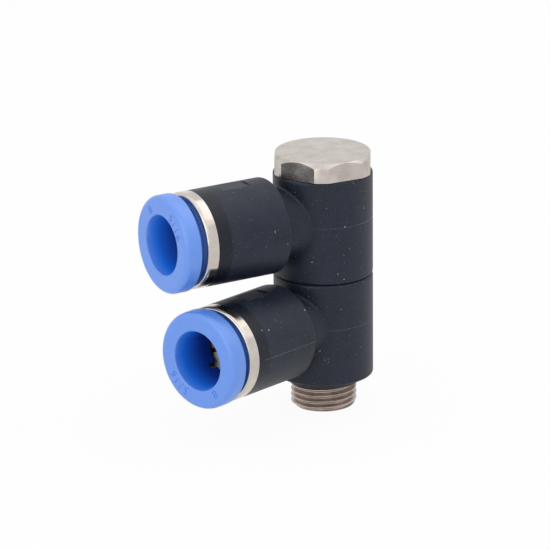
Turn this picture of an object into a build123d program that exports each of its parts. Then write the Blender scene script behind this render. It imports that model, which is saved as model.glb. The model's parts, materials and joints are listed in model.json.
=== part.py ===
from build123d import *
import math
import os

os.makedirs("parts", exist_ok=True)

# Lengths are in millimetres and angles in degrees. Z runs up the bolt. Height 0 is the
# flat face of the port that the fitting is screwed into, and X points away from the
# upper arm. Distances along an arm are counted from the bolt's axis.

# Port thread: parallel pipe thread of nominal size one eighth, cut on the bolt's end
thread_diameter = 9.728
thread_length = 3.75
thread_lead_in = 0.45
thread_relief_diameter = 8.6

# Port seal: flat rubber ring that sits in the relief above the thread
port_seal_width = 1.15
port_seal_thickness = 1.1
port_seal_edge = 0.2
seal_inner_clearance = 0.05

# Bolt: hexagon head, hollow shank with a waist and cross holes at the height of each arm
head_across_flats = 14.0
head_corner_diameter = 15.1
head_top_diameter = 13.9
head_height = 2.8
head_chamfer_height = 0.67
head_corner_angle = -3.7
shank_diameter = 10.0
waist_diameter = 8.7
waist_half_length = 3.2
waist_slope = 0.5
flow_bore_diameter = 5.6
flow_bore_overrun = 2.6
drill_point_angle = 118.0
cross_hole_diameter = 3.6
cross_hole_turn = 45.0

# Rings of round rubber cord on the shank, one above and one below each waist
cord_diameter = 1.0
cord_groove_width = 1.35
cord_groove_land = 0.725
cord_clearance = 0.03

# Body: one moulding, used twice on the same bolt
body_height = 15.6
barrel_diameter = 14.7
barrel_edge = 0.4
arm_height = 8.7
arm_diameter = 14.3
arm_root = 9.6
arm_root_edge = 0.5
arm_end = 22.1
neck_diameter = 10.6
neck_blend = 0.35
swivel_clearance = 0.05
stack_gap = 0.05
passage_diameter = 6.0
pad_length = 4.6
pad_width = 3.4
pad_depth = 0.15
pad_middle = 15.6

# Directions in which the two arms point
upper_arm_angle = 180.0
arm_spread = 16.4

# Tube socket and the cartridge that holds the tube, from the tube stop outwards
tube_bore_diameter = 8.2
tube_stop = 10.4
pocket_floor = 14.2
pocket_diameter = 12.3
insert_clearance = 0.02
tube_seal_length = 2.7
tube_seal_lip_diameter = 7.84
tube_seal_groove_depth = 1.4
back_ring_length = 2.4
claw_thickness = 0.3
claw_rim_width = 0.85
claw_tip_diameter = 7.8
claw_reach = 0.95
claw_teeth = 10
claw_slot_width = 0.7
claw_side_room = 0.22
claw_back_room = 0.85

# Guide ring: pressed into the arm, its collar is the metal band seen beside the blue ring
guide_collar_length = 1.8
guide_collar_edge = 0.5
guide_bore_diameter = 11.1
guide_bore_length = 2.0
guide_bore_chamfer = 0.35
guide_recess_diameter = 11.5

# Release ring: flange that is pressed by hand, and a split sleeve that opens the claws
sleeve_clearance = 0.05
sleeve_barb_height = 0.1
sleeve_barb_length = 1.35
sleeve_barb_gap = 0.05
sleeve_nose_diameter = 10.0
sleeve_slots = 4
sleeve_slot_width = 0.9
sleeve_slot_length = 1.3
sleeve_slot_turn = 45.0
release_gap = 1.05
flange_overhang = 0.1
flange_thickness = 2.65
flange_front_edge = 0.85
flange_back_edge = 0.25
mouth_width = 0.35
mouth_depth = 2.4
mouth_edge = 0.25

# Sizes that follow from the ones above
lower_body_base = port_seal_thickness
upper_body_base = lower_body_base + body_height + stack_gap
head_base = upper_body_base + body_height + stack_gap
lower_arm_height = lower_body_base + arm_height
upper_arm_height = upper_body_base + arm_height
lower_arm_angle = upper_arm_angle + arm_spread
cord_groove_offset = waist_half_length + waist_slope + cord_groove_land + cord_groove_width / 2
seal_start = pocket_floor
back_ring_start = seal_start + tube_seal_length
claw_start = back_ring_start + back_ring_length
guide_start = claw_start + claw_thickness
guide_front = arm_end + guide_collar_length
flange_back = guide_front + release_gap
insert_radius = pocket_diameter / 2 - insert_clearance
claw_rim_radius = insert_radius - claw_rim_width
sleeve_radius = guide_bore_diameter / 2 - sleeve_clearance
barb_front = guide_front - guide_bore_length - sleeve_barb_gap
sleeve_inner_end = barb_front - sleeve_barb_length


def turned(points):
    """Solid of revolution about Z, from an outline of (radius, height) points."""
    outline = Polyline([(radius, 0, height) for radius, height in points], close=True)
    return revolve(make_face(outline), Axis.Z, 360)


def rod(diameter, low, high):
    """Round rod on the Z axis between two heights."""
    lowest = (Align.CENTER, Align.CENTER, Align.MIN)
    return Pos(0, 0, low) * Cylinder(diameter / 2, high - low, align=lowest)


def on_arm(shape, angle, height):
    """Lays a shape that was made along Z onto an arm's axis."""
    turn = math.radians(angle)
    direction = (math.cos(turn), math.sin(turn), 0)
    return Plane(origin=(0, 0, height), x_dir=(0, 0, 1), z_dir=direction).location * shape


def banjo_bolt():
    """Hexagon-headed hollow bolt that clamps both bodies and feeds them with air."""
    thread_radius = thread_diameter / 2
    shank_radius = shank_diameter / 2
    waist_radius = waist_diameter / 2
    relief_radius = thread_relief_diameter / 2
    outline = [
        (0, -thread_length),
        (thread_radius - thread_lead_in, -thread_length),
        (thread_radius, thread_lead_in - thread_length),
        (thread_radius, 0),
        (relief_radius, 0),
        (relief_radius, lower_body_base),
        (shank_radius, lower_body_base),
    ]
    for height in (lower_arm_height, upper_arm_height):
        outline += [
            (shank_radius, height - waist_half_length - waist_slope),
            (waist_radius, height - waist_half_length),
            (waist_radius, height + waist_half_length),
            (shank_radius, height + waist_half_length + waist_slope),
        ]
    outline += [(shank_radius, head_base), (0, head_base)]
    bolt = turned(outline)

    # The head is a hexagonal bar whose corners are turned down and whose top is chamfered
    hexagon = RegularPolygon(head_across_flats / 2, 6, major_radius=False, rotation=head_corner_angle)
    head = Pos(0, 0, head_base) * extrude(hexagon, head_height)
    head_top = head_base + head_height
    blank = turned([
        (0, head_base),
        (head_corner_diameter / 2, head_base),
        (head_corner_diameter / 2, head_top - head_chamfer_height),
        (head_top_diameter / 2, head_top),
        (0, head_top),
    ])
    bolt += head & blank

    # Blind flow bore, ending in a drill point above the upper cross holes
    bore_top = upper_arm_height + flow_bore_overrun
    bore_radius = flow_bore_diameter / 2
    point_height = bore_radius / math.tan(math.radians(drill_point_angle / 2))
    bolt -= turned([
        (0, -thread_length),
        (bore_radius, -thread_length),
        (bore_radius, bore_top),
        (0, bore_top + point_height),
    ])

    for height in (lower_arm_height, upper_arm_height):
        for quarter in (0, 90):
            drill = Rotation(0, 90, 0) * Cylinder(cross_hole_diameter / 2, shank_diameter)
            bolt -= Pos(0, 0, height) * Rotation(0, 0, cross_hole_turn + quarter) * drill
        for side in (-1, 1):
            groove_middle = height + side * cord_groove_offset
            bolt -= cord_groove(groove_middle)
    return bolt


def cord_groove(middle):
    """Square groove in the shank for one sealing ring."""
    floor_diameter = shank_diameter - 2 * cord_diameter
    low = middle - cord_groove_width / 2
    high = middle + cord_groove_width / 2
    return rod(shank_diameter + cord_diameter, low, high) - rod(floor_diameter, low, high)


def cord_ring(middle):
    """Ring of round rubber cord that seals the shank against a body's bore."""
    bore_radius = shank_diameter / 2 + swivel_clearance
    ring_radius = bore_radius - cord_clearance - cord_diameter / 2
    return Pos(0, 0, middle) * Torus(ring_radius, cord_diameter / 2)


def port_seal():
    """Flat sealing ring, held in the bolt's relief and pressed against the port's face."""
    inner = thread_relief_diameter / 2 + seal_inner_clearance
    mouth = thread_diameter / 2 + seal_inner_clearance
    outer = inner + port_seal_width
    top = lower_body_base - stack_gap
    return turned([
        (inner, mouth - inner),
        (mouth, 0),
        (outer - port_seal_edge, 0),
        (outer, port_seal_edge),
        (outer, top - port_seal_edge),
        (outer - port_seal_edge, top),
        (inner, top),
    ])


def body(base, angle):
    """Moulded body: a barrel that turns on the bolt and an arm that takes one tube."""
    arm_axis = base + arm_height
    barrel = rod(barrel_diameter, base, base + body_height)
    rims = barrel.edges().filter_by(GeomType.CIRCLE)
    barrel = fillet(rims, barrel_edge)

    # The neck leaves the barrel's middle and meets the wider arm at a plain shoulder
    neck = on_arm(rod(neck_diameter, 0, arm_root + arm_root_edge), angle, arm_axis)
    moulding = barrel + neck
    saddle = moulding.edges().filter_by(GeomType.BSPLINE)
    moulding = fillet(saddle, neck_blend)

    arm = rod(arm_diameter, arm_root, arm_end)
    arm = fillet(arm.edges().filter_by(GeomType.CIRCLE).sort_by(Axis.Z)[0], arm_root_edge)
    arm -= label_pad()
    moulding += on_arm(arm, angle, arm_axis)

    # Swivel bore, air passage, tube socket and the wider pocket for the cartridge
    bore_diameter = shank_diameter + 2 * swivel_clearance
    moulding -= rod(bore_diameter, base, base + body_height)
    hollow = rod(passage_diameter, 0, tube_stop)
    hollow += rod(tube_bore_diameter, tube_stop, pocket_floor)
    hollow += rod(pocket_diameter, pocket_floor, arm_end)
    moulding -= on_arm(hollow, angle, arm_axis)
    return moulding


def label_pad():
    """Shallow flat recess on top of the arm, left bare."""
    floor = arm_diameter / 2 - pad_depth
    pocket = Box(pad_width, pad_width, pad_length)
    return Pos(floor + pad_width / 2, 0, pad_middle) * pocket


def tube_seal():
    """Rubber lip seal that closes round the tube."""
    outer = insert_radius
    lip = tube_seal_lip_diameter / 2
    bore = tube_bore_diameter / 2
    inner_end = seal_start
    outer_end = seal_start + tube_seal_length
    groove_floor = inner_end + tube_seal_groove_depth
    middle = (outer + bore) / 2
    wall = (outer - bore) / 4
    return turned([
        (bore + wall / 2, outer_end),
        (outer, outer_end),
        (outer, inner_end),
        (outer - wall, inner_end),
        (middle, groove_floor),
        (bore + wall, inner_end),
        (lip, inner_end + wall / 2),
        (lip, inner_end + wall),
        (bore + wall / 2, groove_floor),
    ])


def back_ring():
    """Hard ring that backs the claws, with a cone that gives their teeth room to bend."""
    bore = tube_bore_diameter / 2
    return turned([
        (bore, back_ring_start),
        (insert_radius, back_ring_start),
        (insert_radius, claw_start),
        (claw_rim_radius + claw_side_room, claw_start),
        (bore, claw_start - claw_reach - claw_back_room),
    ])


def lock_claw():
    """Spring steel ring with slanted teeth that let the tube in and hold it."""
    tip = claw_tip_diameter / 2
    top = claw_start + claw_thickness
    ring = turned([
        (claw_rim_radius, claw_start),
        (insert_radius, claw_start),
        (insert_radius, top),
        (claw_rim_radius, top),
        (tip, top - claw_reach),
        (tip, claw_start - claw_reach),
    ])
    slot_length = claw_rim_radius - claw_slot_width / 2
    for number in range(claw_teeth):
        slot = Pos(slot_length / 2, 0, claw_start) * Box(slot_length, claw_slot_width, 4 * claw_reach)
        ring -= Rotation(0, 0, number * 360 / claw_teeth) * slot
    return ring


def guide_ring():
    """Plated metal ring pressed into the arm, which guides the release sleeve."""
    bore = guide_bore_diameter / 2
    recess = guide_recess_diameter / 2
    collar = arm_diameter / 2
    shoulder = guide_front - guide_bore_length
    ring = turned([
        (recess, guide_start),
        (insert_radius, guide_start),
        (insert_radius, arm_end),
        (collar, arm_end),
        (collar, guide_front),
        (bore + guide_bore_chamfer, guide_front),
        (bore, guide_front - guide_bore_chamfer),
        (bore, shoulder),
        (recess, shoulder),
    ])
    rims = ring.edges().filter_by(GeomType.CIRCLE).group_by(Axis.Z)[-1].sort_by(SortBy.RADIUS)
    return fillet(rims[-1], guide_collar_edge)


def release_ring():
    """Ring that is pushed inwards to open the claws and let the tube go."""
    bore = tube_bore_diameter / 2
    nose = sleeve_nose_diameter / 2
    barb = sleeve_radius + sleeve_barb_height
    flange = arm_diameter / 2 + flange_overhang
    front = flange_back + flange_thickness
    nose_length = sleeve_radius - nose
    ring = turned([
        (bore, sleeve_inner_end),
        (nose, sleeve_inner_end),
        (barb, sleeve_inner_end + nose_length),
        (barb, barb_front),
        (sleeve_radius, barb_front),
        (sleeve_radius, flange_back),
        (flange, flange_back),
        (flange, front),
        (bore + mouth_width, front),
        (bore, front - mouth_depth),
    ])
    back_rim = ring.edges().filter_by(GeomType.CIRCLE).sort_by(SortBy.RADIUS)[-2:].sort_by(Axis.Z)[0]
    ring = fillet(back_rim, flange_back_edge)
    front_rims = ring.edges().filter_by(GeomType.CIRCLE).group_by(Axis.Z)[-1].sort_by(SortBy.RADIUS)
    ring = fillet(front_rims[-1], flange_front_edge)
    front_rims = ring.edges().filter_by(GeomType.CIRCLE).group_by(Axis.Z)[-1].sort_by(SortBy.RADIUS)
    ring = fillet(front_rims[0], mouth_edge)

    # Slots split the sleeve so that its barb can snap in behind the guide ring
    slot_middle = sleeve_inner_end + sleeve_slot_length / 2
    for number in range(sleeve_slots // 2):
        slot = Pos(0, 0, slot_middle) * Box(arm_diameter, sleeve_slot_width, sleeve_slot_length)
        ring -= Rotation(0, 0, sleeve_slot_turn + number * 360 / sleeve_slots) * slot
    return ring


def save(shape, node):
    """Writes one sub-part to its own file."""
    export_step(shape, "parts/" + node + ".step")


save(banjo_bolt(), "banjo_bolt")
save(port_seal(), "port_seal")

levels = (
    ("lower", lower_body_base, lower_arm_angle),
    ("upper", upper_body_base, upper_arm_angle),
)
cartridge = (
    ("tube_seal", tube_seal()),
    ("back_ring", back_ring()),
    ("lock_claw", lock_claw()),
    ("guide_ring", guide_ring()),
    ("release_ring", release_ring()),
)
for level, base, angle in levels:
    arm_axis = base + arm_height
    save(body(base, angle), level + "_body")
    save(cord_ring(arm_axis - cord_groove_offset), level + "_bottom_ring")
    save(cord_ring(arm_axis + cord_groove_offset), level + "_top_ring")
    for piece, shape in cartridge:
        save(on_arm(shape, angle, arm_axis), level + "_" + piece)
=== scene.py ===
# %% [markdown]
# # A double banjo fitting
# The object is a pneumatic fitting: two black elbows that turn on one hollow bolt, each with a
# blue release ring and a plated guide ring round its tube socket. The CAD model already gives
# every piece its size, so this lesson adds what a plain solid lacks: the turns of the thread,
# the size marks on the rings, the marks of the mould, and the finishes.

# %% Load the CAD model
import json
import math

import bmesh
import bpy
from mathutils import Matrix, Vector


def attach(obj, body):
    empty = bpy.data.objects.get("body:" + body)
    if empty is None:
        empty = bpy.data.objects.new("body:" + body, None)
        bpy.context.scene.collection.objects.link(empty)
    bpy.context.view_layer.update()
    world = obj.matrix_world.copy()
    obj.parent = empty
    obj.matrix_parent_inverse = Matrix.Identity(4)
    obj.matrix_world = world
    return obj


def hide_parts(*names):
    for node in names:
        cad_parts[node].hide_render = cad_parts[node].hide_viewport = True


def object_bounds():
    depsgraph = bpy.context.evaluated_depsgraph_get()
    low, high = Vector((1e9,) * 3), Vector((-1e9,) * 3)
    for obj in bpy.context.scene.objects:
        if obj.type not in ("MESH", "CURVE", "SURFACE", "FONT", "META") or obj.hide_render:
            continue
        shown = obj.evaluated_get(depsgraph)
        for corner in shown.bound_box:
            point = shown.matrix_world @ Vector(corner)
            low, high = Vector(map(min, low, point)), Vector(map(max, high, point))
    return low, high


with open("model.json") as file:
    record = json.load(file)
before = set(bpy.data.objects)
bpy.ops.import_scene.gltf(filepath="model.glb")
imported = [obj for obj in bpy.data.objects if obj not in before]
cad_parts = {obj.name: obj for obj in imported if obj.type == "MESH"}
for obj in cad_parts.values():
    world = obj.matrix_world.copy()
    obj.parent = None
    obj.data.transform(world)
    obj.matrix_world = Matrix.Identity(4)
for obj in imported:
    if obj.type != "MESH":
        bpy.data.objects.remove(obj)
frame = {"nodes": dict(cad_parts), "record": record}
cad_low, cad_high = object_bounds()
nodes = frame["nodes"]
MM = 0.001
print("CAD box in mm:", [round(v / MM, 2) for v in (*cad_low, *cad_high)])

# %% [markdown]
# ## The camera
# The photograph was taken from far away with a long lens, a little above the fitting, and the
# arms point to the viewer's left. A long lens keeps the sides of the barrels nearly parallel.
# The camera is set by its aim, its direction and its distance, which reads more plainly than a
# position alone, and turned by the slight roll of the picture.

# %% Place the camera
camera_aim = Vector((-6.142, 3.583, 16.175)) * MM
camera_azimuth = math.radians(-31.693)
camera_elevation = math.radians(17.983)
camera_roll = math.radians(0.444)
camera_distance = 738.34 * MM

camera_data = bpy.data.cameras.new("camera")
camera_data.sensor_width = 36
camera_data.lens = 327.6
camera_data.clip_end = 10
camera = bpy.data.objects.new("camera", camera_data)
bpy.context.scene.collection.objects.link(camera)
bpy.context.scene.camera = camera

towards_camera = Vector((
    math.sin(camera_azimuth) * math.cos(camera_elevation),
    -math.cos(camera_azimuth) * math.cos(camera_elevation),
    math.sin(camera_elevation),
))
looking = (-towards_camera).to_track_quat("-Z", "Y").to_matrix()
looking = looking @ Matrix.Rotation(-camera_roll, 3, "Z")
camera_place = Matrix.Translation(camera_aim + towards_camera * camera_distance)
camera.matrix_world = camera_place @ looking.to_4x4()
print("camera at", [round(v / MM, 1) for v in camera.matrix_world.translation], "mm")

# %% [markdown]
# ## Helpers for colours and nodes
# Colours are written as the hex values that a colour picker shows. Blender computes with linear
# light, so one function turns them. Another adds a node with its settings and its links, which
# keeps each recipe below short enough to read: values fill the node's open inputs in order, and
# a name sets a property of the node or one of its inputs.


# %% Colour and node helpers
def linear(hex_colour):
    """sRGB hex to linear RGBA."""
    values = [int(hex_colour[i:i + 2], 16) / 255 for i in (1, 3, 5)]
    return [v / 12.92 if v <= 0.04045 else ((v + 0.055) / 1.055) ** 2.4 for v in values] + [1]


def add(tree, kind, *values, **named):
    """Adds a node. A value is a plain one, a socket, or a node, meaning its first open output."""
    node = tree.nodes.new(kind)
    for name in [name for name in named if hasattr(node, name)]:
        setattr(node, name, named.pop(name))
    wanted = list(zip([socket for socket in node.inputs if socket.enabled], values))
    wanted += [(node.inputs[name.replace("_", " ")], value) for name, value in named.items()]
    for socket, value in wanted:
        if isinstance(value, bpy.types.Node):
            value = next(output for output in value.outputs if output.enabled)
        if isinstance(value, bpy.types.NodeSocket):
            tree.links.new(value, socket)
        else:
            socket.default_value = value
    return node


def new_material(name):
    """A material whose node tree is still empty."""
    material = bpy.data.materials.new(name)
    material.use_nodes = True
    material.node_tree.nodes.clear()
    return material


print("white is", linear("#ffffff"))

# %% [markdown]
# ## Lamps
# A small studio: a very large soft lamp overhead, a smaller one high on the camera's right, and
# one low on its left that lights the rings' faces. They are large and weak, because the white
# surroundings already shine in the metal, and a strong lamp on top of that would burn it out.


# %% Three soft lamps
def soft_lamp(name, position, size, power):
    """A square area lamp that points at the middle of the fitting. Lengths in mm, power in W."""
    data = bpy.data.lights.new(name, "AREA")
    data.size = size * MM
    data.energy = power
    lamp = bpy.data.objects.new(name, data)
    bpy.context.scene.collection.objects.link(lamp)
    lamp.location = Vector(position) * MM
    lamp.rotation_mode = "QUATERNION"
    aim = Vector((-8, 0, 16)) * MM
    lamp.rotation_quaternion = (aim - lamp.location).to_track_quat("-Z", "Y")
    return lamp


scene = bpy.context.scene
scene.view_settings.view_transform = "Standard"
soft_lamp("overhead", (-60, -60, 380), 850, 0.8)
soft_lamp("key", (262, -25, 365), 420, 0.22)
soft_lamp("fill", (-380, -160, 140), 400, 0.36)

# %% [markdown]
# ## White surroundings
# The world is white where the camera or a mirror looks at it, and dimmer as a lamp, so the
# background is white and the black bodies stay black. The kind of ray that arrives tells the
# two cases apart.


# %% World
def largest(tree, values):
    """The largest of several values."""
    total = values[0]
    for value in values[1:]:
        total = add(tree, "ShaderNodeMath", total, value, operation="MAXIMUM")
    return total


def looked_at(tree):
    """1 for a ray that looks, also by way of a mirror or a clear piece, 0 for one that lights."""
    rays = add(tree, "ShaderNodeLightPath").outputs
    return largest(tree, [rays["Is Camera Ray"], rays["Is Glossy Ray"], rays["Is Transmission Ray"]])


world = bpy.data.worlds.new("studio")
scene.world = world
world.use_nodes = True
sky = world.node_tree
sky.nodes.clear()
ambient = add(sky, "ShaderNodeBackground", linear("#f4f6fa"), 0.72)
backdrop = add(sky, "ShaderNodeBackground", linear("#ffffff"), 1.0)
add(sky, "ShaderNodeOutputWorld", add(sky, "ShaderNodeMixShader", looked_at(sky), ambient, backdrop))
print("world:", len(sky.nodes), "nodes")

# %% [markdown]
# ## Floor
# The floor is white paper. It takes the fitting's shadow, but where the camera or a mirror sees
# it, part of it shines as bright as the backdrop, so that the floor and the background meet
# without an edge.

# %% Paper floor
floor_half = 400 * MM
floor_shine = 0.94

paper = new_material("white_paper")
tree = paper.node_tree
share = add(tree, "ShaderNodeMath", looked_at(tree), floor_shine, operation="MULTIPLY")
matt = add(tree, "ShaderNodeBsdfDiffuse", linear("#f2f2f2"))
glow = add(tree, "ShaderNodeEmission", linear("#ffffff"), 1.0)
add(tree, "ShaderNodeOutputMaterial", add(tree, "ShaderNodeMixShader", share, matt, glow))

floor_corners = [(x * floor_half, y * floor_half, cad_low.z)
                 for x, y in ((-1, -1), (1, -1), (1, 1), (-1, 1))]
floor_mesh = bpy.data.meshes.new("floor")
floor_mesh.from_pydata(floor_corners, [], [(0, 1, 2, 3)])
floor_mesh.materials.append(paper)
floor = bpy.data.objects.new("floor", floor_mesh)
scene.collection.objects.link(floor)
print("floor at", round(cad_low.z / MM, 2), "mm")

# %% [markdown]
# ## Finding a place on the fitting
# The patterns below are laid out in real millimetres from the bolt's axis. The two elbows are
# the same moulding at different heights, turned by different angles, so each elbow's material
# gets its own copy of one small recipe that turns Object coordinates into its own frame: x runs
# out along the arm, y across it and z up from the arm's axis. The record's tube sockets say
# where each arm lies.

# %% The elbows' frames
elbows = {}
for mount in frame["record"]["mounts"]:
    level, _, rest = mount["name"].partition("_")
    if rest == "tube_socket":
        x, y, _ = mount["axis"]
        turn = math.degrees(math.atan2(y, x)) % 360
        elbows[level] = {"height": round(mount["pos_m"][2] / MM, 3), "turn": round(turn, 3)}


def millimetres(tree):
    """Object coordinates in mm."""
    where = add(tree, "ShaderNodeTexCoord").outputs["Object"]
    return add(tree, "ShaderNodeVectorMath", where, (1 / MM,) * 3, operation="MULTIPLY")


def place(tree, height, turn):
    """Coordinates in mm in an elbow's own frame, whole and as along, across and up."""
    moved = add(tree, "ShaderNodeVectorMath", millimetres(tree), (0, 0, height), operation="SUBTRACT")
    turned = add(tree, "ShaderNodeVectorRotate", moved, Angle=-math.radians(turn), rotation_type="Z_AXIS")
    parts = add(tree, "ShaderNodeSeparateXYZ", turned).outputs
    return turned, parts["X"], parts["Y"], parts["Z"]


def band(tree, value, low, high, soft):
    """1 where value lies between low and high, falling to 0 over soft mm."""
    rise = add(tree, "ShaderNodeMapRange", value, low - soft, low)
    fall = add(tree, "ShaderNodeMapRange", value, high, high + soft, 1.0, 0.0)
    return add(tree, "ShaderNodeMath", rise, fall, operation="MULTIPLY")


print("elbows:", elbows)

# %% [markdown]
# ## Parting line
# An elbow is moulded between two halves of a steel mould that meet at the height of the arm's
# axis. A hair-thin pale line is left there, but only in places, because the halves meet well
# elsewhere. Each stretch that shows is given by its distances from the bolt's axis, in mm, and
# by its strength, and the grain breaks it up further.

# %% Parting line pattern
seam_half_width = 0.03
seam_soft = 0.05
stretch_soft = 0.4
seam_stretches = {
    "upper": [(-8.0, -1.6, 0.5), (-1.6, 5.2, 0.2)],
    "lower": [(-8.0, 5.0, 0.3), (9.6, 20.6, 0.45)],
}


def parting_line(tree, level, along, up, grain):
    """1 on the parting line where it shows fully, 0 off it."""
    distance = add(tree, "ShaderNodeMath", up, operation="ABSOLUTE")
    line = add(tree, "ShaderNodeMapRange", distance, seam_half_width, seam_half_width + seam_soft, 1.0, 0.0)
    stretches = []
    for low, high, strength in seam_stretches[level]:
        stretch = band(tree, along, low, high, stretch_soft)
        stretches.append(add(tree, "ShaderNodeMath", stretch, strength, operation="MULTIPLY"))
    broken = add(tree, "ShaderNodeMapRange", grain, 0.35, 0.6, 0.3, 1.0)
    shown = add(tree, "ShaderNodeMath", largest(tree, stretches), broken, operation="MULTIPLY")
    return add(tree, "ShaderNodeMath", line, shown, operation="MULTIPLY")


print("stretches:", {level: len(stretches) for level, stretches in seam_stretches.items()})

# %% [markdown]
# ## Dust
# Fine pale dust sits on black plastic and shows at once. Most of it is scattered by chance: a
# pattern divides space into irregular cells, and each cell may hold one round speck. The few
# larger flecks that catch the eye in the photograph are listed one by one.

# %% Dust pattern
dust_layers = [
    {"per_mm": 2.4, "radius": 0.05, "share": 0.6, "strength": 0.4},
    {"per_mm": 1.2, "radius": 0.08, "share": 0.22, "strength": 0.45},
]
# Place along, across and up in mm, then radius in mm and strength
flecks = {
    "upper": [(0.8, 7.3, 0.1, 0.10, 0.8), (12.6, 7.0, 1.4, 0.07, 0.9), (12.6, 7.05, 1.2, 0.07, 0.7),
              (5.2, 5.2, -5.1, 0.10, 0.6), (10.5, 7.1, -0.9, 0.08, 0.6), (1.9, 7.1, -7.0, 0.09, 0.5),
              (1.0, 7.3, -7.9, 0.09, 0.7), (-2.8, 6.8, 2.2, 0.07, 0.7), (-2.75, 6.8, 2.45, 0.06, 0.6)],
    "lower": [(10.3, 5.5, 4.6, 0.10, 0.9), (20.1, 5.9, 4.1, 0.10, 0.9), (18.8, 6.0, 3.8, 0.12, 0.9),
              (5.9, 4.5, -3.1, 0.11, 0.8), (16.7, 5.4, 4.7, 0.06, 0.6), (16.5, 5.6, 4.5, 0.06, 0.6),
              (15.8, 5.8, 4.2, 0.06, 0.5), (5.4, 5.0, -4.5, 0.07, 0.5), (5.0, 5.4, -4.8, 0.07, 0.5)],
}


def specks(tree, at, per_mm, radius, share, strength):
    """Scattered round specks of several sizes. share is how many of the cells have one."""
    cells = add(tree, "ShaderNodeTexVoronoi", at, Scale=per_mm, Randomness=1.0)
    chance = add(tree, "ShaderNodeSeparateXYZ", cells.outputs["Color"]).outputs
    full = radius * per_mm
    size = add(tree, "ShaderNodeMapRange", chance["Y"], To_Min=0.4 * full, To_Max=full)
    inside = add(tree, "ShaderNodeMath", cells, size, operation="LESS_THAN")
    chosen = add(tree, "ShaderNodeMath", chance["X"], share, operation="LESS_THAN")
    both = add(tree, "ShaderNodeMath", inside, chosen, operation="MULTIPLY")
    return add(tree, "ShaderNodeMath", both, strength, operation="MULTIPLY")


def fleck(tree, at, x, y, z, radius, strength):
    """One round mark at a given place in the elbow's frame."""
    distance = add(tree, "ShaderNodeVectorMath", at, (x, y, z), operation="DISTANCE")
    return add(tree, "ShaderNodeMapRange", distance, 0.6 * radius, 1.3 * radius, strength, 0.0)


def dust(tree, level, at):
    """All the dust on one elbow."""
    scattered = [specks(tree, at, **layer) for layer in dust_layers]
    placed = [fleck(tree, at, *mark) for mark in flecks[level]]
    return largest(tree, scattered + placed)


print("flecks placed by hand:", {level: len(marks) for level, marks in flecks.items()})

# %% [markdown]
# ## Glass-filled nylon, moulded black
# The elbows are moulded in black glass-filled nylon against a lightly eroded steel mould. That
# gives a dull skin with a grain of about a tenth of a millimetre, and a smoother, darker band by
# the mouth, where the steel was polished. The colour is built up in layers: fine grain over slow
# clouds, then the polished band, then the pale marks.

# %% Nylon colours
seam_paleness = 0.35


def nylon_colour(tree, grain, cloud, polished, pale):
    """Black skin, the polished band and the pale marks, one over the other."""
    tone = add(tree, "ShaderNodeMapRange", grain, 0.3, 0.7)
    tone = add(tree, "ShaderNodeMath", tone, cloud, operation="ADD")
    tone = add(tree, "ShaderNodeMath", tone, 0.5, operation="MULTIPLY")
    skin = add(tree, "ShaderNodeMix", tone, linear("#0d1118"), linear("#2a3142"), data_type="RGBA")
    skin = add(tree, "ShaderNodeMix", polished, skin, linear("#0c1220"), data_type="RGBA")
    return add(tree, "ShaderNodeMix", pale, skin, linear("#b4bac4"), data_type="RGBA")


print("the seam is", seam_paleness, "times as pale as a full speck of dust")

# %% [markdown]
# The polished band is a little glossier and has hardly any grain, and the parting line stands up
# a little. The grain is drawn at 0.25 mm, coarser than it is, because the real one is finer than
# a pixel. Nylon's IOR is 1.53. Its specular level is low, because a rough skin returns little of
# a highlight.

# %% Black nylon
grain_per_mm = 4.0
cloud_per_mm = 0.35
grain_depth = 0.06 * MM
grain_strength = 0.35
polished_from = 20.0
polished_to = 23.0
polished_soft = 0.3
polished_gloss = 0.06
polished_grain = 0.2
seam_rise = 0.9


def black_nylon(name, level, height, turn):
    """The material of one elbow, in that elbow's own frame."""
    material = new_material(name)
    tree = material.node_tree
    at, along, _, up = place(tree, height, turn)
    grain = add(tree, "ShaderNodeTexNoise", at, Scale=grain_per_mm, Detail=3.0, Roughness=0.6)
    cloud = add(tree, "ShaderNodeTexNoise", at, Scale=cloud_per_mm, Detail=2.0)
    polished = band(tree, along, polished_from, polished_to, polished_soft)
    seam = parting_line(tree, level, along, up, grain)
    pale_seam = add(tree, "ShaderNodeMath", seam, seam_paleness, operation="MULTIPLY")
    pale = largest(tree, [dust(tree, level, at), pale_seam])
    colour = nylon_colour(tree, grain, cloud, polished, pale)

    rough = add(tree, "ShaderNodeMapRange", grain, 0.3, 0.7, 0.42, 0.56)
    glossier = add(tree, "ShaderNodeMath", polished, polished_gloss, operation="MULTIPLY")
    rough = add(tree, "ShaderNodeMath", rough, glossier, operation="SUBTRACT")

    grain_left = add(tree, "ShaderNodeMapRange", polished, 0.0, 1.0, 1.0, polished_grain)
    relief = add(tree, "ShaderNodeMath", grain, grain_left, operation="MULTIPLY")
    raised_seam = add(tree, "ShaderNodeMath", seam, seam_rise, operation="MULTIPLY")
    relief = add(tree, "ShaderNodeMath", relief, raised_seam, operation="ADD")
    bump = add(tree, "ShaderNodeBump", Height=relief, Strength=grain_strength, Distance=grain_depth)

    shader = add(tree, "ShaderNodeBsdfPrincipled", colour, Roughness=rough, Normal=bump,
                 IOR=1.53, Specular_IOR_Level=0.28)
    add(tree, "ShaderNodeOutputMaterial", shader)
    return material


nylon = {level: black_nylon("glass_filled_nylon_" + level, level, **elbow)
         for level, elbow in elbows.items()}
print("made", [m.name for m in nylon.values()])

# %% [markdown]
# ## Nickel-plated brass
# The bolt and the guide rings are turned from brass bar and nickel plated. Nickel is a warm,
# slightly yellow grey. The bolt's plating is satin, with the faint cloudiness of barrel plating,
# the guide rings are polished, so they mirror the studio, and the thread is rougher and painted
# darker and browner: painted shade for the shadowed floor that it mirrors and for the light that
# its turns throw on each other. One recipe makes all three, each from two close tones.

# %% Plated metal
skin_depth = 0.03 * MM


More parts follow.
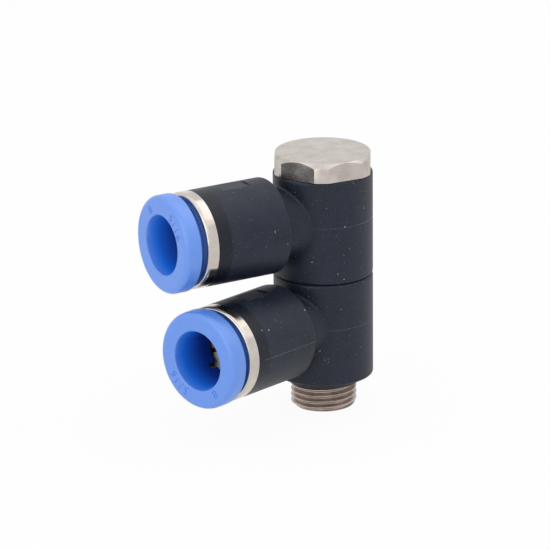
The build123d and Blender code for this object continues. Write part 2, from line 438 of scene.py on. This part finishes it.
def nickel_plate(name, dark, light, smoothest, roughest, fine_per_mm, relief):
    """Two close tones in slow clouds, rougher where they are paler, with a trace of relief."""
    material = new_material(name)
    tree = material.node_tree
    where = millimetres(tree)
    cloud = add(tree, "ShaderNodeTexNoise", where, Scale=0.4, Detail=6.0, Roughness=0.6)
    fine = add(tree, "ShaderNodeTexNoise", where, Scale=fine_per_mm, Detail=2.0)
    blotch = add(tree, "ShaderNodeMapRange", cloud, 0.35, 0.65)
    colour = add(tree, "ShaderNodeMix", blotch, linear(dark), linear(light), data_type="RGBA")
    rough = add(tree, "ShaderNodeMapRange", cloud, 0.3, 0.7, smoothest, roughest)
    bump = add(tree, "ShaderNodeBump", Height=fine, Strength=relief, Distance=skin_depth)
    shader = add(tree, "ShaderNodeBsdfPrincipled", colour, 1.0, rough, Normal=bump)
    add(tree, "ShaderNodeOutputMaterial", shader)
    return material


satin_nickel = nickel_plate("satin_nickel_plate", "#b2aaa3", "#c9c1ba", 0.2, 0.32, 2.0, 0.12)
bright_nickel = nickel_plate("polished_nickel_plate", "#c0b8b0", "#cec7c0", 0.1, 0.2, 3.0, 0.15)
# The thread's two tones are painted darker and browner than the plating: painted shade.
thread_nickel_painted_shade = nickel_plate("nickel_plate_thread_painted_shade", "#a3968f", "#bfb2aa", 0.26, 0.4, 5.0, 0.2)
print("made", satin_nickel.name, bright_nickel.name, thread_nickel_painted_shade.name)

# %% [markdown]
# ## Rubber, black nylon inside and spring steel
# The seals are nitrile rubber, which has a soft dull skin, the backing rings are plain black
# nylon, and the claws are stamped from spring steel, whose colour is painted dark grey: painted
# shade for the deep socket that they sit in. One recipe does for all of them: two close tones in
# slow clouds, a fine grain in the roughness, and a trace of that grain as relief. The grain is
# drawn at 0.25 mm, coarser than it is, so that it shows at all.

# %% Pieces inside
skin_per_mm = 4.0
skin_relief = 0.12


def plain_finish(name, dark, light, smoothest, roughest, **shading):
    """An even finish. shading sets what is the same all over, such as the IOR."""
    material = new_material(name)
    tree = material.node_tree
    where = millimetres(tree)
    cloud = add(tree, "ShaderNodeTexNoise", where, Scale=0.5, Detail=3.0)
    fine = add(tree, "ShaderNodeTexNoise", where, Scale=skin_per_mm, Detail=2.0)
    colour = add(tree, "ShaderNodeMix", cloud, linear(dark), linear(light), data_type="RGBA")
    rough = add(tree, "ShaderNodeMapRange", fine, 0.3, 0.7, smoothest, roughest)
    bump = add(tree, "ShaderNodeBump", Height=fine, Strength=skin_relief, Distance=skin_depth)
    shader = add(tree, "ShaderNodeBsdfPrincipled", colour, Roughness=rough, Normal=bump, **shading)
    add(tree, "ShaderNodeOutputMaterial", shader)
    return material


nitrile = plain_finish("nitrile_rubber", "#17181a", "#1f2022", 0.5, 0.65, IOR=1.52)
inner_nylon = plain_finish("black_nylon_inside", "#1a1a1b", "#222223", 0.4, 0.5, IOR=1.53)
# The claws' steel is painted dark grey: painted shade for the deep socket that they sit in.
claw_steel_painted_shade = plain_finish("stamped_spring_steel_painted_shade", "#626568", "#74777a", 0.24, 0.36, Metallic=1.0)
print("made", nitrile.name, inner_nylon.name, claw_steel_painted_shade.name)

# %% [markdown]
# ## Blue acetal
# The release rings are moulded in blue acetal, a waxy plastic. The IOR is set above acetal's own
# 1.48, and the specular level above its usual half, so that the faces mirror more of the white
# studio. Their blue is also painted paler, a painted sheen. In the bore the blue is painted
# deeper, and darker inwards: painted shade for the light that comes in less there.

# %% Release ring plastic
# The bore's blue lies inside bore_radius. Its painted shade is lightest at bore_bright_at and darkest at
# bore_dark_at, in mm along the arm.
bore_radius = 4.2
bore_soft = 0.25
bore_bright_at = 26.8
bore_dark_at = 22.0


def blue_acetal(name, height, turn):
    """The material of one release ring: painted sheen on its faces, painted shade in its bore."""
    material = new_material(name)
    tree = material.node_tree
    where = millimetres(tree)
    cloud = add(tree, "ShaderNodeTexNoise", where, Scale=0.5, Detail=3.0)
    fine = add(tree, "ShaderNodeTexNoise", where, Scale=skin_per_mm, Detail=2.0)
    # The faces' blue, painted paler: a painted sheen for the white that they mirror.
    paler_with_painted_sheen = add(tree, "ShaderNodeMix", cloud, linear("#4e89e6"), linear("#588fea"), data_type="RGBA")

    _, along, across, up = place(tree, height, turn)
    from_axis = add(tree, "ShaderNodeCombineXYZ", 0.0, across, up)
    radius = add(tree, "ShaderNodeVectorMath", from_axis, operation="LENGTH")
    in_bore = add(tree, "ShaderNodeMapRange", radius, bore_radius, bore_radius + bore_soft, 1.0, 0.0)
    inwards = add(tree, "ShaderNodeMapRange", along, bore_bright_at, bore_dark_at)
    # The bore's blue, painted darker inwards: painted shade.
    bore_blue_painted_shade = add(tree, "ShaderNodeMix", inwards, linear("#1084fc"), linear("#0a46ae"), data_type="RGBA")
    colour = add(tree, "ShaderNodeMix", in_bore, paler_with_painted_sheen, bore_blue_painted_shade, data_type="RGBA")

    rough = add(tree, "ShaderNodeMapRange", fine, 0.3, 0.7, 0.36, 0.46)
    bump = add(tree, "ShaderNodeBump", Height=fine, Strength=skin_relief, Distance=skin_depth)
    shader = add(tree, "ShaderNodeBsdfPrincipled", colour, Roughness=rough, Normal=bump,
                 IOR=1.6, Specular_IOR_Level=1.0)
    add(tree, "ShaderNodeOutputMaterial", shader)
    return material


acetal = {level: blue_acetal("blue_acetal_" + level, **elbow) for level, elbow in elbows.items()}
print("made", [m.name for m in acetal.values()])

# %% [markdown]
# ## The port thread
# The bolt's end carries a pipe thread with 28 turns to the inch, so one turn rises 0.907 mm, and
# its groove is 0.581 mm deep. A thread is a surface whose radius follows a rule, so it is made
# with Geometry Nodes. The radius at any height and angle is the outer radius less a groove that
# climbs one pitch in a turn, and a cone at the free end leads the thread in.

# %% Radius of the thread
thread_sizes = {
    "Outer radius": 4.864,
    "Inner radius": 3.9,
    "Length": -cad_low.z / MM,
    "Pitch": 0.907,
    "Depth": 0.581,
    "Lead in": 0.45,
}
# Halfway from one crest to the next is the root, at 0, and the crest is at 1
root_ends = 0.08
crest_starts = 0.92


def thread_radius(tree, given, share, height):
    """Radius of the thread's surface in mm. share is the part of a turn round the axis."""
    turns = add(tree, "ShaderNodeMath", height, given["Pitch"], operation="DIVIDE")
    steps = add(tree, "ShaderNodeMath", turns, share, operation="SUBTRACT")
    saw = add(tree, "ShaderNodeMath", steps, operation="FRACT")
    ramp = add(tree, "ShaderNodeMapRange", saw, 0.0, 1.0, -1.0, 1.0)
    ridge = add(tree, "ShaderNodeMath", ramp, operation="ABSOLUTE")
    hollow = add(tree, "ShaderNodeMapRange", ridge, root_ends, crest_starts, 1.0, 0.0,
                 interpolation_type="SMOOTHSTEP")
    groove = add(tree, "ShaderNodeMath", hollow, given["Depth"], operation="MULTIPLY")
    radius = add(tree, "ShaderNodeMath", given["Outer radius"], groove, operation="SUBTRACT")

    foot = add(tree, "ShaderNodeMath", height, given["Length"], operation="ADD")
    start = add(tree, "ShaderNodeMath", given["Outer radius"], given["Lead in"], operation="SUBTRACT")
    lead_in = add(tree, "ShaderNodeMath", start, foot, operation="ADD")
    return add(tree, "ShaderNodeMath", radius, lead_in, operation="MINIMUM")


print("thread sizes in mm:", {name: round(size, 3) for name, size in thread_sizes.items()})

# %% [markdown]
# A flat grid is rolled up into a tube, and each of its points is moved out to that radius. The
# outermost rows go in to the inner radius, at the height of the thread's ends. There they make
# a flat ring at each end, which meets the core that the next cells make.

# %% Roll a grid up
thread_columns = 181
thread_rows = 121
# Rows are counted from 0 to 1. The height stops changing before the first of these two and after
# the second, and the rows further from the middle than the third are on the inner radius.
first_row = 0.02
last_row = 0.98
core_row = 0.495


def thread_tree():
    """Geometry nodes that roll a flat grid up into a threaded shell."""
    tree = bpy.data.node_groups.new("pipe_thread", "GeometryNodeTree")
    face = tree.interface
    face.new_socket("Geometry", in_out="OUTPUT", socket_type="NodeSocketGeometry")
    for name, size in thread_sizes.items():
        socket = face.new_socket(name, in_out="INPUT", socket_type="NodeSocketFloat")
        socket.default_value = size
    face.new_socket("Material", in_out="INPUT", socket_type="NodeSocketMaterial")
    given = add(tree, "NodeGroupInput").outputs

    grid = add(tree, "GeometryNodeMeshGrid", 1.0, 1.0, thread_columns, thread_rows)
    flat = add(tree, "ShaderNodeSeparateXYZ", add(tree, "GeometryNodeInputPosition")).outputs
    share = add(tree, "ShaderNodeMath", flat["X"], 0.5, operation="ADD")
    row = add(tree, "ShaderNodeMath", flat["Y"], 0.5, operation="ADD")
    below_top = add(tree, "ShaderNodeMapRange", row, first_row, last_row, -1.0, 0.0)
    height = add(tree, "ShaderNodeMath", below_top, given["Length"], operation="MULTIPLY")
    radius = thread_radius(tree, given, share, height)
    from_middle = add(tree, "ShaderNodeMath", row, 0.5, operation="SUBTRACT")
    from_middle = add(tree, "ShaderNodeMath", from_middle, operation="ABSOLUTE")
    at_end = add(tree, "ShaderNodeMath", from_middle, core_row, operation="GREATER_THAN")
    radius = add(tree, "ShaderNodeMix", at_end, radius, given["Inner radius"])

    angle = add(tree, "ShaderNodeMath", share, 2 * math.pi, operation="MULTIPLY")
    outwards = add(tree, "ShaderNodeMath", angle, operation="COSINE")
    sideways = add(tree, "ShaderNodeMath", angle, operation="SINE")
    x = add(tree, "ShaderNodeMath", radius, outwards, operation="MULTIPLY")
    y = add(tree, "ShaderNodeMath", radius, sideways, operation="MULTIPLY")
    spot = add(tree, "ShaderNodeCombineXYZ", x, y, height)
    metres = add(tree, "ShaderNodeVectorMath", spot, (MM,) * 3, operation="MULTIPLY")

    rolled = add(tree, "GeometryNodeSetPosition", grid, Position=metres)
    closed = add(tree, "GeometryNodeMergeByDistance", rolled, Distance=0.001 * MM)
    real = add(tree, "GeometryNodeRealizeInstances", closed)
    coated = add(tree, "GeometryNodeSetMaterial", real, Material=given["Material"])
    add(tree, "NodeGroupOutput", coated)
    return tree


print("thread grid:", thread_columns, "by", thread_rows, "points")

# %% [markdown]
# A node tree only makes a mesh while it is evaluated, so it is run once on an empty holder, the
# result is copied out as a plain mesh, and the holder is removed.


# %% Run the thread's nodes
def made_by(tree, name, values):
    """Runs a node tree once and returns the plain mesh that it makes."""
    holder = bpy.data.objects.new(name + "_maker", bpy.data.meshes.new(name + "_maker"))
    scene.collection.objects.link(holder)
    modifier = holder.modifiers.new("maker", "NODES")
    modifier.node_group = tree
    for socket in tree.interface.items_tree:
        if socket.item_type == "SOCKET" and socket.in_out == "INPUT" and socket.name in values:
            modifier[socket.identifier] = values[socket.name]
    graph = bpy.context.evaluated_depsgraph_get()
    mesh = bpy.data.meshes.new_from_object(holder.evaluated_get(graph))
    mesh.name = name
    bpy.data.objects.remove(holder)
    return mesh


# The thread takes the nickel that is painted darker, as painted shade.
thread_mesh = made_by(thread_tree(), "port_thread", {"Material": thread_nickel_painted_shade})
print("thread:", len(thread_mesh.vertices), "points,", len(thread_mesh.polygons), "faces")

# %% [markdown]
# ## Cutting one mesh out of another
# The bolt and the rings start as copies of the CAD pieces, because those are already the right
# size, and something is cut out of each. A CAD mesh comes as loose triangles, so a copy is first
# joined up, because a clean cut needs a closed mesh.


# %% Copy and cut
def merged_copy(node, name):
    """A copy of a CAD node's mesh, with its loose triangles joined up."""
    mesh = nodes[node].data.copy()
    mesh.name = name
    made = bpy.data.objects.new(name, mesh)
    scene.collection.objects.link(made)
    work = bmesh.new()
    work.from_mesh(mesh)
    bmesh.ops.remove_doubles(work, verts=work.verts, dist=0.0001 * MM)
    work.to_mesh(mesh)
    work.free()
    return made


def cut(target, tool):
    """Takes one closed mesh out of another and removes the tool."""
    modifier = target.modifiers.new("cut", "BOOLEAN")
    modifier.operation = "DIFFERENCE"
    modifier.solver = "EXACT"
    modifier.object = tool
    graph = bpy.context.evaluated_depsgraph_get()
    mesh = bpy.data.meshes.new_from_object(target.evaluated_get(graph))
    target.modifiers.clear()
    target.data = mesh
    bpy.data.objects.remove(tool)


print("helpers ready:", merged_copy.__name__, cut.__name__)

# %% [markdown]
# ## The bolt with its thread
# The CAD bolt ends in a plain cylinder as wide as the thread. A copy of it has that cylinder
# turned down to a core, and the threaded shell goes round the core. The two are one object,
# because on the real bolt they are one piece of metal. The shell reaches a little way into the
# core, so no gap is left between them.

# %% Turn down and thread the bolt
core_radius = 4.0
turning_radius = 5.6
turning_depth = 4.0
thread_finish_radius = 3.95


def ring_tool(name, inner, outer, low, high, segments=128):
    """A plain ring round Z, for cutting. Sizes in mm."""
    work = bmesh.new()
    loops = []
    for radius, z in ((inner, low), (outer, low), (outer, high), (inner, high)):
        angles = [2 * math.pi * i / segments for i in range(segments)]
        loops.append([work.verts.new((radius * MM * math.cos(a), radius * MM * math.sin(a), z * MM))
                      for a in angles])
    for a, b in zip(loops, loops[1:] + loops[:1]):
        for i in range(segments):
            j = (i + 1) % segments
            work.faces.new((a[i], a[j], b[j], b[i]))
    bmesh.ops.recalc_face_normals(work, faces=work.faces)
    mesh = bpy.data.meshes.new(name)
    work.to_mesh(mesh)
    work.free()
    made = bpy.data.objects.new(name, mesh)
    scene.collection.objects.link(made)
    return made


bolt = merged_copy("banjo_bolt", "threaded_bolt")
cut(bolt, ring_tool("turning_tool", core_radius, turning_radius, -turning_depth, 0.0))
work = bmesh.new()
work.from_mesh(bolt.data)
work.from_mesh(thread_mesh)
work.to_mesh(bolt.data)
work.free()
bolt.data.materials.clear()
bolt.data.materials.append(satin_nickel)
# The second material, for the thread's faces, is nickel painted darker as painted shade.
bolt.data.materials.append(thread_nickel_painted_shade)
for face in bolt.data.polygons:
    on_thread = face.center.z < -0.01 * MM and face.center.xy.length > thread_finish_radius * MM
    face.material_index = 1 if on_thread else 0
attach(bolt, "bolt")
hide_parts("banjo_bolt")
print("bolt:", len(bolt.data.polygons), "faces")

# %% [markdown]
# ## Size marks on the release rings
# Each ring is marked with the tube it takes, 8 mm or 5/16 inch. The marks are moulded into its
# face, less than a tenth of a millimetre deep, with their tops outwards, and they read
# clockwise. Each figure is made as a block of type that is set round the face.

# %% Type for the rings
mark_height = 1.25
mark_radius = 5.5
mark_pitch = 11.0
mark_depth = 0.08
capital_share = 0.7
face_distance = round(-min(v.co.x for v in nodes["upper_release_ring"].data.vertices) / MM, 3)


def type_block(character, angle):
    """One figure as a closed block that straddles the ring's face, in the elbow's frame."""
    curve = bpy.data.curves.new("figure", "FONT")
    curve.body = character
    curve.size = mark_height / capital_share * MM
    curve.extrude = mark_depth * MM
    curve.align_x = "CENTER"
    curve.resolution_u = 4
    figure = bpy.data.objects.new("figure", curve)
    scene.collection.objects.link(figure)
    graph = bpy.context.evaluated_depsgraph_get()
    mesh = bpy.data.meshes.new_from_object(figure.evaluated_get(graph))
    bpy.data.objects.remove(figure)
    mesh.transform(Matrix.Translation((0, (mark_radius - mark_height / 2) * MM, 0)))
    mesh.transform(Matrix.Rotation(-math.radians(angle), 4, "Z"))
    facing = Matrix(((0, 0, 1, face_distance * MM), (1, 0, 0, 0), (0, 1, 0, 0), (0, 0, 0, 1)))
    mesh.transform(facing)
    return mesh


print("ring's face at", face_distance, "mm from the bolt's axis")

# %% [markdown]
# The blocks are cut out of a copy of each ring. The rings turn freely in their sockets, so the
# marks stand at a different angle on each, as in the photograph.

# %% Engrave the rings
first_marks = {"upper": -33, "lower": 141}
second_mark_turn = 80


def marked_ring(level, first_angle):
    """A copy of a release ring with 8 at first_angle and 5/16 further round."""
    ring = merged_copy(level + "_release_ring", level + "_marked_ring")
    places = [("8", first_angle)]
    for i, figure in enumerate("5/16"):
        places.append((figure, first_angle + second_mark_turn + (i - 1.5) * mark_pitch))
    elbow = elbows[level]
    arm_axis = Matrix.Translation((0, 0, elbow["height"] * MM))
    arm_turn = Matrix.Rotation(math.radians(elbow["turn"]), 4, "Z")
    for figure, angle in places:
        block = type_block(figure, angle)
        block.transform(arm_axis @ arm_turn)
        work = bmesh.new()
        work.from_mesh(block)
        bmesh.ops.remove_doubles(work, verts=work.verts, dist=0.0001 * MM)
        bmesh.ops.recalc_face_normals(work, faces=work.faces)
        work.to_mesh(block)
        work.free()
        tool = bpy.data.objects.new("figure_" + level, block)
        scene.collection.objects.link(tool)
        cut(ring, tool)
    ring.data.materials.clear()
    ring.data.materials.append(acetal[level])
    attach(ring, level + "_release")
    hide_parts(level + "_release_ring")
    return ring


for level, first_angle in first_marks.items():
    ring = marked_ring(level, first_angle)
    print(ring.name, len(ring.data.polygons), "faces")

# %% [markdown]
# ## Finishes on the CAD pieces
# The other pieces already have the right shape. Each gets its material, and keeps the smooth
# shading with sharp edges that it came with.

# %% Assign the materials
finishes = {
    "port_seal": nitrile,
    "bottom_ring": nitrile,
    "top_ring": nitrile,
    "tube_seal": nitrile,
    "back_ring": inner_nylon,
    # The claws get the steel with painted shade.
    "lock_claw": claw_steel_painted_shade,
    "guide_ring": bright_nickel,
}
for node, piece in nodes.items():
    level, _, rest = node.partition("_")
    finish = nylon[level] if rest == "body" else finishes.get(node) or finishes.get(rest)
    if finish:
        piece.data.materials.clear()
        piece.data.materials.append(finish)
print({name: [m.name for m in piece.data.materials if m] for name, piece in nodes.items()})
